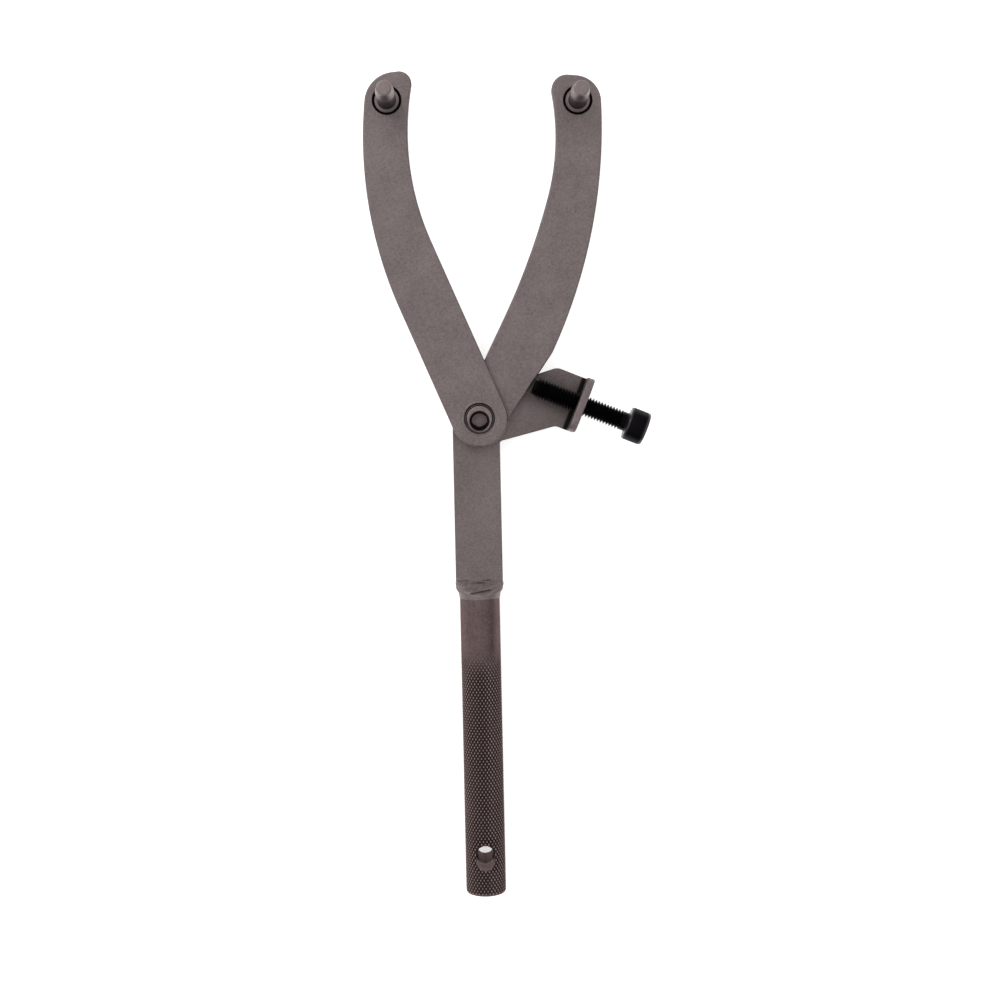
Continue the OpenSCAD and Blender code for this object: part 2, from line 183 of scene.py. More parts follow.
def piece(name, grids, body, finish, node, painted_light_and_wear=None):
    """One mesh from grids of points. Each is closed across its columns unless it comes with
    False. Equal points are merged, and the faces turned outwards. The last argument is a
    function of the points' x, y and z that gives painted shade and painted highlight, and on
    some pieces wear: from -1 painted highlight or rubbed bright and 0 clean to 1 painted
    shade, kept in the mesh."""
    merge_below, sharp_above = 4e-6, math.radians(34)
    points, faces, base = [], [], 0
    for grid in grids:
        grid, closed = grid if isinstance(grid, tuple) else (grid, True)
        index = base + np.arange(grid.shape[0] * grid.shape[1]).reshape(grid.shape[:2])
        if closed:
            index = np.hstack([index, index[:, :1]])
        quads = [index[:-1, :-1], index[1:, :-1], index[1:, 1:], index[:-1, 1:]]
        faces.append(np.stack(quads, axis=-1).reshape(-1, 4))
        points.append(grid.reshape(-1, 3))
        base += grid.shape[0] * grid.shape[1]
    mesh = bpy.data.meshes.new(name)
    mesh.from_pydata((np.vstack(points) / 1000).tolist(), [], np.vstack(faces).tolist())
    work = bmesh.new()
    work.from_mesh(mesh)
    bmesh.ops.remove_doubles(work, verts=work.verts, dist=merge_below)
    bmesh.ops.recalc_face_normals(work, faces=work.faces)
    work.to_mesh(mesh)
    work.free()
    mesh.shade_smooth()
    mesh.set_sharp_from_angle(angle=sharp_above)
    if painted_light_and_wear:
        place = np.empty(3 * len(mesh.vertices))
        mesh.vertices.foreach_get("co", place)
        dark = np.clip(painted_light_and_wear(*(1000 * place.reshape(-1, 3).T)), -1, 1)
        mesh.attributes.new("painted_light_and_wear", "FLOAT", "POINT").data.foreach_set("value", dark)
    thing = bpy.data.objects.new(name, mesh)
    bpy.context.scene.collection.objects.link(thing)
    mesh.materials.append(finish)
    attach(thing, body)
    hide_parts(node)


# ---------------------------------------------------------------- arms

# How far the straight part of each arm leans from the line to its pin, in degrees. The right
# arm's two sides lean a little less than that.
LEFT_LEAN, RIGHT_LEAN = 7.8, 9.0


def along(lean):
    """The way that an edge leaning left of +Y runs."""
    return unit(90 + lean)


def across(lean):
    """The way across an edge leaning left of +Y, to its right."""
    return unit(lean)


def sweep(side, start, lean, centre, radius):
    """The arc that leaves start along the lean and runs smoothly into a corner circle, and the
    angle from the corner's centre to the arc's. The arc's centre is on the normal at start,
    where its distance to the corner's centre is the arc's radius less the corner's."""
    w = start - centre
    big = (radius * radius - w @ w) / (2 * (w @ across(lean) - side * radius))
    middle = start + big * across(lean)
    to = middle - centre
    end = np.degrees(np.arctan2(to[1], to[0]))
    return arc(middle, big, 180 + lean, 180 + end, 80), end


def tip(outer_c, outer_r, outer_end, inner_c, inner_r, inner_end):
    """The arm's tip: two corner arcs joined by the straight line that touches both."""
    w = inner_c - outer_c
    turn = np.degrees(np.arctan2(w[1], w[0]) + np.arccos((outer_r - inner_r) / np.linalg.norm(w)))
    return np.vstack([arc(outer_c, outer_r, 180 + outer_end, turn, 60),
                      arc(inner_c, inner_r, turn, inner_end, 40)])


def left_outline():
    """The left arm's outline, clockwise from its outer edge: straight, a long arc, the tip, a
    long arc back, straight, and a half round at the pivot."""
    lean, end_r, pin = LEFT_LEAN, 11.2, np.array([0, LEFT_REACH])
    outer_from, inner_from = 52.5 * along(lean), 71.9 * along(lean)
    outer_c, outer_r, inner_c, inner_r = pin + (3, -1.9), 12.3, pin + (6.6, 5), 4.9
    outer, outer_end = sweep(-1, outer_from - end_r * across(lean), lean, outer_c, outer_r)
    inner, inner_end = sweep(1, inner_from + end_r * across(lean), lean, inner_c, inner_r)
    return np.vstack([
        outer, tip(outer_c, outer_r, outer_end, inner_c, inner_r, inner_end), inner[::-1],
        arc((0, 0), end_r, lean, lean - 180, 90)])


def right_outline():
    """The right arm's outline, drawn as a left one: a tapered edge for the screw up to a knee, a
    long arc, the tip, two arcs back, straight, and a round end at the pivot."""
    end_r, taper, pin = 9.7, 16.5, np.array([0, RIGHT_REACH])
    outer_lean, outer_off, inner_lean, inner_off = 7.7, 15.4, 8.0, 8.2
    outer_c, outer_r, inner_c, inner_r = pin + (1, -1), 10.7, pin + (5.4, 2.7), 6.1
    foot = -end_r * across(taper)
    gap = -outer_off * across(outer_lean) - foot
    knee = foot + along(taper) * (gap @ across(outer_lean)) / (along(taper) @ across(outer_lean))
    easy_r, easy_from, easy_len = 290, 40, 52
    middle = (inner_off + easy_r) * across(inner_lean) + easy_from * along(inner_lean)
    easy_lean = inner_lean - np.degrees(easy_len / easy_r)
    outer, outer_end = sweep(-1, knee, outer_lean, outer_c, outer_r)
    inner, inner_end = sweep(1, middle - easy_r * across(easy_lean), easy_lean, inner_c, inner_r)
    end_from = inner_lean + np.degrees(np.arccos(inner_off / end_r))
    return np.vstack([
        outer, tip(outer_c, outer_r, outer_end, inner_c, inner_r, inner_end), inner[::-1],
        arc(middle, easy_r, 180 + easy_lean, 180 + inner_lean, 30),
        arc((0, 0), end_r, end_from, taper - 180, 90)])


def arm(outline, reach, lean, low, high, pivot_rows):
    """A flat arm with its edges rounded, its pivot hole and its pin hole with a groove round
    the pin. The outline is cut into two sides and two ends. Each face is ruled from it to a
    line round one hole, along the arm's middle, round the other hole and back. The cuts are
    where the outline passes nearest to a mark at each side, over the pivot and under the pin.
    The rows at the pivot are radii and drops from the face."""
    side, ring, fine_steps = 64, 96, 3000
    half_w, over_pivot, under_pin, edge_r = 11, 9, 8, 0.65
    pin = np.array([0, reach])
    outline = even(np.vstack([outline, outline[:1]]), fine_steps)
    marks = [over_pivot * along(lean) - half_w * across(lean), pin + (-half_w, -under_pin),
             pin + (half_w, -under_pin), over_pivot * along(lean) + half_w * across(lean)]
    at = [int(np.argmin(np.linalg.norm(outline - m, axis=1))) for m in marks]
    line = np.roll(outline, -at[0], axis=0)
    line = np.vstack([line, line[:1]])
    cuts = [(i - at[0]) % len(outline) for i in at] + [len(outline)]
    steps = [side, ring, side, ring]
    parts = [even(line[a:b + 1], n) for a, b, n in zip(cuts, cuts[1:], steps)]
    rounded = np.vstack(parts)
    middle = (np.vstack([parts[0], parts[1][:1]]) + np.vstack([parts[2], parts[3][:1]])[::-1]) / 2
    down = middle[-1] - pin
    once_round = np.linspace(0, 360, ring, endpoint=False)
    pin_angles = np.degrees(np.arctan2(down[1], down[0])) - once_round
    pivot_angles = 90 + lean - once_round

    def core(pivot_r, pin_r, z):
        """The line round both holes and along the arm's middle, at a height."""
        ends = [pivot_r * unit(pivot_angles), pin + pin_r * unit(pin_angles)]
        spine = np.vstack([ends[0][:1], middle[1:-1], ends[1][:1]])
        return level(np.vstack([spine[:-1], ends[1], spine[:0:-1], ends[0]]), z)

    sides = rim(rounded, edge(edge_r, low, high, 6))
    mouth, floor = 0.15, high - 1.2
    pin_wall = [(GROOVE_R + mouth, high), (GROOVE_R + 0.1, high - 0.05),
                (GROOVE_R, high - mouth), (GROOVE_R, floor), (PIN_SEAT_R, floor),
                (PIN_SEAT_R, low)]
    pivot_wall = [(radius, high - drop) for radius, drop in pivot_rows] + [(PIVOT_HOLE_R, low)]
    return [sides,
            ruled(sides[0], core(pivot_rows[0][0], GROOVE_R + mouth, high)),
            ruled(sides[-1], core(PIVOT_HOLE_R, PIN_SEAT_R, low)),
            turned_round(pin_wall, pin_angles, pin),
            turned_round(pivot_wall, pivot_angles)]


# ---------------------------------------------------------------- handle plate

BEND_START = FLANGE_AT - BEND_R
BEND_RUN = (BEND_R + PLATE_T / 2) * math.pi / 2


def bent(points):
    """The flat blank's points, as x along the screw, y and depth in the sheet, after bending.
    Past the bend's start x becomes an angle about the bend's axis, up to a right angle, and
    past its end a height."""
    u, v, w = np.moveaxis(np.asarray(points, float), -1, 0)
    reach = BEND_R + PLATE_T - w
    a = np.clip((u - BEND_START) / BEND_RUN, 0, 1) * math.pi / 2
    x = np.minimum(u, BEND_START) + reach * np.sin(a)
    z = PLATE_T + BEND_R - reach * np.cos(a) + np.maximum(u - BEND_START - BEND_RUN, 0)
    return turned(np.stack([x, v, z + span("handle_plate")[0][2]], axis=-1), -SCREW_ANGLE)


def blank_x(z, w):
    """Where on the flat blank a height z over the plate's back lies after bending: the inverse
    of bent, at depth w in the sheet."""
    reach = BEND_R + PLATE_T - w
    a = np.arccos(np.clip((PLATE_T + BEND_R - z) / reach, 0, 1)) / (math.pi / 2)
    return BEND_START + BEND_RUN * a + np.maximum(z - PLATE_T - BEND_R, 0)


def plate():
    """The handle bar, the wing beside the pivot and the bent flange as one sheet. The blank's
    outline and the line round its two holes are laid out in the same stretches, so each face
    is ruled between them, square to the bend there, and then bent."""
    top = SCREW_LEVER - FLANGE_SHIFT + FLANGE_W / 2
    bottom = top - FLANGE_W
    low_end = span("handle_plate")[0][1]
    height = span("handle_plate")[1][2] - span("handle_plate")[0][2]
    hole_z = span("adjusting_screw")[0][2] + SCREW_HEAD_R - span("handle_plate")[0][2]
    left, right = -BAR_SHIFT - BAR_W / 2, -BAR_SHIFT + BAR_W / 2
    round_c = turned([-BAR_SHIFT, 0], SCREW_ANGLE)
    shoulder_r, neck_r, root_r, flange_r, foot_y = 5, 3, 1.2, 4, low_end + 4
    shoulder, neck = np.array([FLANGE_AT - 12.3, top]), np.array([FLANGE_AT - 4.4, bottom])
    root = turned([right, -9.2], SCREW_ANGLE)
    way = shoulder - round_c
    wing = np.degrees(np.arctan2(way[1], way[0]) + np.arccos(BAR_W / 2 / np.linalg.norm(way)))
    u_a, u_end = BEND_START - 1.5, BEND_START + BEND_RUN + height - PLATE_T - BEND_R
    u_tip = u_end - 4.6
    down = SCREW_ANGLE - 90
    spine_way = np.degrees(np.arctan2(SCREW_LEVER, u_a))
    below = neck + 0.3 * (root - neck)

    def bar(x, y):
        """A point of the upright bar, on the blank, whose x runs along the screw."""
        return turned([x, y], SCREW_ANGLE)

    bar_end, left_top, right_top = bar(-BAR_SHIFT, foot_y), bar(left, -10), bar(right, -12)
    left_foot, right_foot = bar(left, foot_y), bar(right, foot_y)
    wing_start = arc(round_c, BAR_W / 2, wing, wing, 1)[0]
    past_shoulder = corner(wing_start, shoulder, [u_a, top], shoulder_r)
    past_neck = corner([u_a, bottom], neck, root, neck_r)
    past_root = corner(neck, root, bar(right, -20), root_r)
    flange_top = np.vstack([
        [[u_tip, top]], corner([u_tip, top], [u_end, top], [u_end, bottom], flange_r),
        corner([u_end, top], [u_end, bottom], [u_tip, bottom], flange_r), [[u_tip, bottom]]])
    pivot_n, wing_n, bend_n, half_n, tip_n, fan_n = 84, 10, 16, 24, 6, 30
    root_n, bar_n, foot_n = 44, 24, 16
    half = np.linspace(-90, 90, half_n, endpoint=False)

    def hole(r, w):
        """The screw hole's two halves on the blank, from its low point to its high point."""
        x = blank_x(hole_z + r * np.sin(np.radians(half)), w)
        x_back = blank_x(hole_z - r * np.sin(np.radians(half)), w)
        out = r * np.cos(np.radians(half))
        return (np.stack([x, SCREW_LEVER + out], axis=1),
                np.stack([x_back, SCREW_LEVER - out], axis=1))

    def straight(a, b, steps):
        """Even points on the line from a to b, without b."""
        return even(np.array([a, b], float), steps)

    over_u, under_u = (part[:, 0] for part in hole(SCREW_HOLE_R, PLATE_T / 2))
    u_low, u_high = over_u[0], under_u[0]
    outline = np.vstack([
        even(np.vstack([[left_top], arc(round_c, BAR_W / 2, 180 + SCREW_ANGLE, wing, 60),
                        past_shoulder]), pivot_n),
        straight(past_shoulder[-1], [u_a, top], wing_n),
        straight([u_a, top], [u_low, top], bend_n),
        np.stack([over_u, np.full(half_n, top)], axis=1),
        straight([u_high, top], [u_tip, top], tip_n),
        even(flange_top, fan_n),
        straight([u_tip, bottom], [u_high, bottom], tip_n),
        np.stack([under_u, np.full(half_n, bottom)], axis=1),
        straight([u_low, bottom], [u_a, bottom], bend_n),
        even(np.vstack([[[u_a, bottom]], past_neck, [below]]), wing_n),
        even(np.vstack([[below], past_root, [right_top]]), root_n),
        straight(right_top, right_foot, bar_n),
        even(np.array([right_foot, bar(right, low_end), bar(left, low_end), left_foot]), foot_n),
        straight(left_foot, left_top, bar_n)])
    angles = np.r_[np.linspace(down, spine_way - 360, pivot_n, endpoint=False),
                   np.linspace(spine_way - 360, down - 360, root_n, endpoint=False)]

    def core(w, pivot_r, hole_r):
        """The line round both holes and along the wing, the flange and the bar, at a depth in
        the sheet."""
        over, under = hole(hole_r, w)
        pivot = pivot_r * unit(angles)
        start, turn = np.array([u_a, SCREW_LEVER]), pivot_r * unit(spine_way)
        end, foot = np.array([u_tip, SCREW_LEVER]), pivot_r * unit(down)
        return np.vstack([
            pivot[:pivot_n], straight(turn, start, wing_n), straight(start, over[0], bend_n), over,
            straight(under[0], end, tip_n), np.tile(end, (fan_n, 1)),
            straight(end, under[0], tip_n), under, straight(over[0], start, bend_n),
            straight(start, turn, wing_n), pivot[pivot_n:], straight(foot, bar_end, bar_n),
            np.tile(bar_end, (foot_n, 1)), straight(bar_end, foot, bar_n)])

    def bore(w, r):
        """The screw hole's ring of a radius, at a depth in the sheet."""
        return level(np.vstack(hole(r, w)), w)

    edge_r, shank_r, bevel, mouth = 0.4, 5.0, 0.2, 0.25
    shank_mouth, screw_mouth = shank_r + bevel, SCREW_HOLE_R + mouth
    sides = rim(outline, edge(edge_r, 0, PLATE_T))
    wall = [(shank_mouth, PLATE_T), (shank_r, PLATE_T - bevel), (shank_r, bevel), (shank_mouth, 0)]
    holes = [bore(PLATE_T, screw_mouth), bore(PLATE_T - mouth, SCREW_HOLE_R),
             bore(PLATE_T / 2, SCREW_HOLE_R), bore(mouth, SCREW_HOLE_R), bore(0, screw_mouth)]
    shares = (0, 0.03, 0.25, 0.5, 0.75, 0.97, 1)
    flat = [sides,
            ruled(sides[0], level(core(PLATE_T, shank_mouth, screw_mouth), PLATE_T), shares),
            ruled(sides[-1], level(core(0, shank_mouth, screw_mouth), 0), shares),
            turned_round(wall, angles), np.stack(holes)]
    return [bent(grid) for grid in flat]


# ---------------------------------------------------------------- turned parts

ROUND = np.linspace(0, 360, 96, endpoint=False)


def face_pin(at, low):
    """A pin turned from bar: its foot flush with the arm, a small fillet, the straight part, the
    taper and a rounded end."""
    shank_r, rows = 3.75, 48
    profile = np.vstack([
        [[0, 0], [4.7, 0], [PIN_SEAT_R, 0.2], [PIN_SEAT_R, 3.85], [4.75, ARM_T], [4.0, ARM_T]],
        arc((shank_r + 0.3, ARM_T + 0.3), 0.3, 270, 180, 4),
        [[shank_r, 4.4]], np.stack([np.full(rows, shank_r), np.linspace(4.6, 17, rows)], axis=1),
        np.stack([np.linspace(3.7, 3.15, 8), np.linspace(17.6, 22.6, 8)], axis=1),
        arc((2.3, 23.2), 0.8, 14, 90, 8),
        [[1.2, 24.0], [0, 24.0]]])
    return [turned_round(profile, ROUND, at) + (0, 0, low)]


def rivet():
    """The rivet: a domed head at the back, the shank, the rolled rim in the left arm's recess
    and the hollow in its end. The rolling tool pressed the hollow off the middle, so the rows
    from the rim's crown to its floor are moved towards -Y."""
    top = span("pivot_rivet")[1][2]
    profile = np.vstack([
        [[0, 0], [6.4, 0]], arc((7.2, 0.8), 0.8, 270, 360, 6),
        [[8.0, 1.8], [7.8, 2.0], [5.0, 2.0]],
        [[5.0, top - 1.0], [5.5, top - 1.0]],
        arc((5.35, top - 0.55), 0.45, 330, 450, 6),
        [[5.3, top - 0.12], [5.2, top - 0.35], [5.08, top - 0.12], [4.98, top - 0.05]],
        arc((4.35, top - 0.5), 0.5, 90, 160, 5),
        [[3.6, top - 0.8], [3.45, top - 1.1], [3.35, top - 1.6], [3.3, top - 3.3],
         [3.0, top - 3.6], [2.8, top - 3.6], [2.4, top - 3.57], [2.0, top - 3.53],
         [1.5, top - 3.45], [0, top - 3.4]]])
    off = HOLLOW_OFF * smooth((5.3 - profile[:, 0]) / 0.9) * (profile[:, 1] > top - 3.7)
    return [turned_round(profile, ROUND) - off[:, None, None] * (0, 1, 0)]


def screw():
    """A socket head screw along +Z from its end. The thread's radius is a clipped triangle wave
    of the height over the pitch less the share of a turn. It starts with a bevel and runs out
    under the head. The head's side has a straight knurl on every other column. The socket's
    radius is that of a hexagon. The rows past the thread are heights over the head's start."""
    pitch, crest, root, neck, head = 1.25, 4.0, 3.15, 3.75, SCREW_HEAD_R
    bevel_end, thread_end, half_key, columns = 0.9, 36.9, 3.0, 96
    turn = np.arange(columns) / columns
    z = np.arange(0, 38.4, pitch / 8)[:, None] + bevel_end
    wave = 1 - np.abs(2 * ((z / pitch - turn) % 1) - 1)
    thread = root + (crest - root) * np.clip(1.6 * wave - 0.3, 0, 1)
    thread = thread + (neck - thread) * smooth((z - thread_end) / 0.7)
    thread = np.minimum(thread, 3.1 + (z - bevel_end) * 0.8)
    tooth = np.where(np.arange(columns) % 2, 0.2, 0.0)
    hexagon = half_key / np.cos(np.radians((turn * 360 + 30) % 60 - 30))
    plain = np.ones(columns)
    start = [(0 * plain, 0), (2.9 * plain, 0), (3.1 * plain, 0.15)]
    rest = [(3.8 * plain, -0.3), (4.1 * plain, 0), (5.9 * plain, 0), ((head - 0.2) * plain, 0.15),
            ((head - 0.05) * plain, 0.6), (head - tooth, 1), (head - tooth, 6.4),
            ((head - 0.05) * plain, 6.9)]
    rest += [(r * plain, h) for r, h in arc((head - 0.75, 7.3), 0.7, 10, 90, 5)]
    rest += [(3.75 * plain, 8), (hexagon + 0.05, 7.75), (hexagon, 4.3), (0 * plain, 3.5)]
    radius = np.vstack([[r for r, h in start], thread, [r for r, h in rest]])
    height = np.r_[[h for r, h in start], z[:, 0], [SCREW_LEN + h for r, h in rest]]
    ring = radius[..., None] * unit(turn * 360)
    return np.concatenate([ring, np.broadcast_to(height[:, None, None], ring.shape[:2] + (1,))],
                          axis=-1)


def screw_in_place():
    """The screw with its own +Z laid along the screw's axis in the flange."""
    x, y, z = np.moveaxis(screw(), -1, 0)
    up = span("adjusting_screw")[0][2] + SCREW_HEAD_R
    return [turned(np.stack([SCREW_START + z, SCREW_LEVER + x, up + y], axis=-1), -SCREW_ANGLE)]


# ---------------------------------------------------------------- handle rod


def from_dish(x, y, upper):
    """How far a point is from the dish's middle, seen from above, and 20 mm more on the rod's
    under side. Its x is from the rod's axis and its y from the rod's end."""
    return np.hypot(x, y - (CROSS_FROM_END - DISH_OFF)) + 20 * ~upper


def knurl(angle, y, top, low_end):
    """Radius of the rod at an angle and a place along it. Two families of helical grooves, as
    many each way and as far apart along the rod as the constants say, leave flat-topped
    diamonds. The grooves come in slowly, and a dish on the upper side, beside the cross hole,
    is free of them and a little sunk."""
    plain_len, fade_len, dish_deep = 20, 16, 0.25
    one = (KNURL_STARTS * angle / 360 + y / KNURL_PITCH) % 1
    two = (KNURL_STARTS * angle / 360 - y / KNURL_PITCH) % 1
    ridge = np.minimum(1 - np.abs(2 * one - 1), 1 - np.abs(2 * two - 1))
    depth = KNURL_DEEP * (1 - np.clip(ridge / 0.6, 0, 1))
    come = smooth((top - plain_len - y) / fade_len) * smooth((y - low_end - 0.9) / 0.5)
    x = ROD_R * np.cos(np.radians(angle))
    dish = from_dish(x, y - low_end, np.sin(np.radians(angle)) >= 0)
    come = come * smooth((dish - DISH_R) / 0.6)
    return ROD_R - depth * come - dish_deep * (1 - smooth((dish - 2.4) / 1.4))


def rod():
    """The knurled rod. A grid of angle by length covers it, but for a window over each mouth of
    the cross hole, which is filled by rings from the window's edge to the hole. The end under
    the weld is turned down to a cone."""
    low_y, high_y = span("handle_rod")[0][1], span("handle_rod")[1][1]
    hole_y, step, count = low_y + CROSS_FROM_END, KNURL_PITCH / 6, 6 * KNURL_STARTS
    end_len, plain_len, cone_len, lip = 1.2, 18, 4.3, 0.55
    axis = np.array([-BAR_SHIFT, 0, span("handle_rod")[0][2] + ROD_R])
    rows_down = np.arange(1, int((hole_y - low_y - end_len) / step) + 1)[::-1] * -step
    rows_up = np.arange(0, int((high_y - plain_len - hole_y) / step)) * step
    y = np.r_[rows_down, rows_up] + hole_y
    y = np.r_[low_y + end_len, y, np.linspace(y[-1] + 0.6, high_y, 32)]
    y = y[np.r_[True, np.diff(y) > 0.05]]
    angle = np.arange(count) * 360 / count

    def surface(a, along_y):
        """The rod's surface at an angle and a place along it."""
        radius = knurl(a, along_y, high_y, low_y) - np.clip(along_y - high_y + cone_len, 0, 5)
        ring = radius[..., None] * unit(a)
        return np.stack([ring[..., 0], along_y + 0 * a, ring[..., 1]], axis=-1) + axis

    a, b = np.meshgrid(angle, y)
    body = surface(a, b)
    mid = int(np.argmin(np.abs(y - hole_y)))
    # Half the window's rows and half its columns
    half_y, half_a = 18, 24
    y_low, y_high = mid - half_y, mid + half_y
    grids, loops = [body[:y_low + 1], body[y_high:]], []
    for centre in (count // 4, 3 * count // 4):
        cols = (np.arange(centre - half_a, centre + half_a + 1)) % count
        rows = np.arange(y_low, y_high + 1)
        edge_a = np.r_[angle[cols[:-1]], np.full(2 * half_y, angle[cols[-1]]),
                       angle[cols[:0:-1]], np.full(2 * half_y, angle[cols[0]])]
        edge_y = np.r_[np.full(2 * half_a, y[y_low]), y[rows[:-1]],
                       np.full(2 * half_a, y[y_high]), y[rows[:0:-1]]]
        x = ROD_R * np.cos(np.radians(edge_a))
        way = np.degrees(np.arctan2(edge_y - hole_y, x))
        side = np.where(centre < count / 2, 1, -1)
        ring = unit(way)
        share = np.linspace(0, 1, 16)[:, None]
        flat_x = x + share * ((CROSS_R + lip) * ring[:, 0] - x)
        flat_y = edge_y + share * (hole_y + (CROSS_R + lip) * ring[:, 1] - edge_y)
        flat_a = side * np.degrees(np.arccos(flat_x / ROD_R))
        fill = surface(flat_a, flat_y)
        fill[0] = surface(edge_a, edge_y)
        inner = np.stack([CROSS_R * ring[:, 0] + axis[0], hole_y + CROSS_R * ring[:, 1],
                          fill[-1][:, 2] - side * 0.5], axis=-1)
        halfway = (fill[-1] + inner) / 2
        halfway[:, 2] += side * 0.12
        grids.append(np.concatenate([fill, halfway[None], inner[None]]))
        loops.append(inner[np.argsort(way % 360)])
    # The columns on each side of the windows, which only the band of rows beside them needs
    between = np.r_[0:count][(np.arange(count) > count // 4 + half_a - 1)
                             & (np.arange(count) <= 3 * count // 4 - half_a)]
    other = np.arange(-(count // 4 - half_a), count // 4 - half_a + 1) % count
    band = body[y_low:y_high + 1]
    grids += [(band[:, between], False), (band[:, other], False)]
    grids.append(ruled(loops[0], loops[1], (0, 0.5, 1)))
    end = [(7.85, low_y + 0.7), (7.5, low_y + 0.25), (6.9, low_y), (0, low_y)]
    ring = unit(angle)
    cap = np.stack([np.stack([r * ring[:, 0], np.full(count, at), r * ring[:, 1]], axis=-1)
                    for r, at in end]) + axis
    grids.append(np.concatenate([body[:1], cap]))
    point = np.stack([0 * ring[:, 0], np.full(count, high_y), 0 * ring[:, 1]], axis=-1) + axis
    grids.append(np.stack([body[-1], point]))
    return grids


# ---------------------------------------------------------------- weld


def weld_creases(x, y):
    """How near a point is to one of the weld's toes and overlaps, from 0 to 1: bell curves of
    the distance to three short slanting lines across the joint."""
    x, y = x + BAR_SHIFT, y - span("handle_rod")[1][1]
    left_toe = 0.6 * np.exp(-((y - 2.8) / 0.25) ** 2) * smooth((-4 - x) / 0.8)
    upper = np.exp(-((y - 1.9 - 0.22 * x) / 0.28) ** 2) * smooth((x + 3.6) / 0.8)
    lower = np.exp(-((y + 1.5 - 0.16 * x) / 0.3) ** 2) * smooth((x + 4) / 0.8)
    return np.maximum(np.maximum(left_toe, upper * smooth((5.2 - x) / 0.8)),
                      lower * smooth((5 - x) / 0.8))


def weld():
    """The weld between plate and rod, carried along Y. Its section is a superellipse whose
    exponent falls from 9, a flat bar, to 2, a round rod. Ripples are added to its radius along
    curved lines across the joint, and the creases are cut into it."""
    low, high = span("weld_bead")
    t = np.linspace(0, 1, 70)[:, None]
    angle = np.linspace(0, 360, 200, endpoint=False)[None]
    y = high[1] - t * (high[1] - low[1])
    grow = np.clip(t / 0.8, 0, 1) ** 1.15
    flat_w, flat_h, round_r = 9.35, 1.55, 8.12
    bulge = 0.25 * np.exp(-((t - 0.4) / 0.2) ** 2)
    half_w = flat_w + (round_r - flat_w) * smooth((t - 0.35) / 0.6) + bulge
    half_h = flat_h + (round_r - flat_h) * grow
    power = 2 / (9 + (2 - 9) * grow)
    c, s = np.cos(np.radians(angle)), np.sin(np.radians(angle))
    x = half_w * np.sign(c) * np.abs(c) ** power
    z = half_h * np.sign(s) * np.abs(s) ** power
    wave = 0.5 * np.sin(x * 0.7) + 0.6 * np.sin(x * 0.33 + 1)
    ripple = 0.2 * np.abs(np.sin(math.pi * (y + wave) / 2.6)) - 0.1
    ripple = ripple * smooth(t / 0.1) * smooth((1 - t) / 0.25)
    ripple = ripple - 0.3 * weld_creases(x - BAR_SHIFT, y + 0 * x) * smooth(t / 0.1)
    scale = 1 + ripple / np.hypot(half_w, half_h) * 1.6
    grid = np.stack([x * scale, y + 0 * x, z * scale], axis=-1)
    centre = np.array([-BAR_SHIFT, 0, span("handle_rod")[0][2] + ROD_R])
    ends = [grid[:1] * (0, 1, 0), grid, grid[-1:] * (0, 1, 0)]
    return [np.concatenate(ends) + centre]


# ---------------------------------------------------------------- painted shade, highlight and wear
# Each function takes a piece's points and gives a share: 1 is black, painted shade, and -1
# bright, a painted highlight or rubbed wear


def near_ring(x, y, centre, inner, outer):
    """1 between two radii about a centre and 0 outside, with edges a tenth of a mm wide."""
    radius = np.hypot(x - centre[0], y - centre[1])
    return smooth((radius - inner) / 0.1 + 0.5) * smooth((outer - radius) / 0.1 + 0.5)


def arm_painted_shade(pin_at, pivot_r):
    """Painted shade in the groove round the pin, and in the recess round the rivet, paler
    towards the handle's side."""
    def painted_light_and_wear(x, y, z):
        recess = near_ring(x, y, (0, 0), 0, pivot_r) * (0.25 + 0.45 * smooth((y - 1) / 4))
        return np.maximum(near_ring(x, y, pin_at, PIN_SEAT_R - 0.4, GROOVE_R + 0.04), recess)
    return painted_light_and_wear


def pin_shade_and_wear(low):
    """Painted shade up the straight part, in rings where the turning tool left ridges, and a tip
    rubbed bright.
    """
    def painted_light_and_wear(x, y, z):
        up = z - low
        # Painted shade on the straight part, varied in rings
        ringed_shade = 0.7 + 0.18 * np.sin(2 * math.pi * up / 1.1)
        dark = ringed_shade * smooth((up - 4.05) / 0.3) * smooth((18 - up) / 4)
        return dark - 0.12 * smooth((up - 18) / 3)
    return painted_light_and_wear


def rivet_painted_shade(x, y, z):
    """Painted shade in the rolling tool's ring, fainter towards the handle, and down the hollow's
    wall and over the floor's rim on that side, with a fainter painted shade over the floor and the
    rivet's sides."""
    radius, hollow = np.hypot(x, y), np.hypot(x, y + HOLLOW_OFF)
    top = span("pivot_rivet")[1][2]
    ring = near_ring(x, y, (0, 0), 5.05, 5.45) * (0.3 + 0.7 * smooth((y + 4.5) / 3))
    wall_r = 2.95 - 0.9 * smooth((-1 - y) / 2.2)
    wall = 0.95 * smooth((hollow - wall_r) / 0.2) * smooth((top - 0.35 - z) / 0.3)
    # A fainter painted shade over the hollow's floor and the rivet's sides
    floor_and_side_shade = 0.3 * ((radius > 5.5) | (hollow < 2.9) & (z < top - 1))
    return np.maximum(np.maximum(ring, wall), floor_and_side_shade)


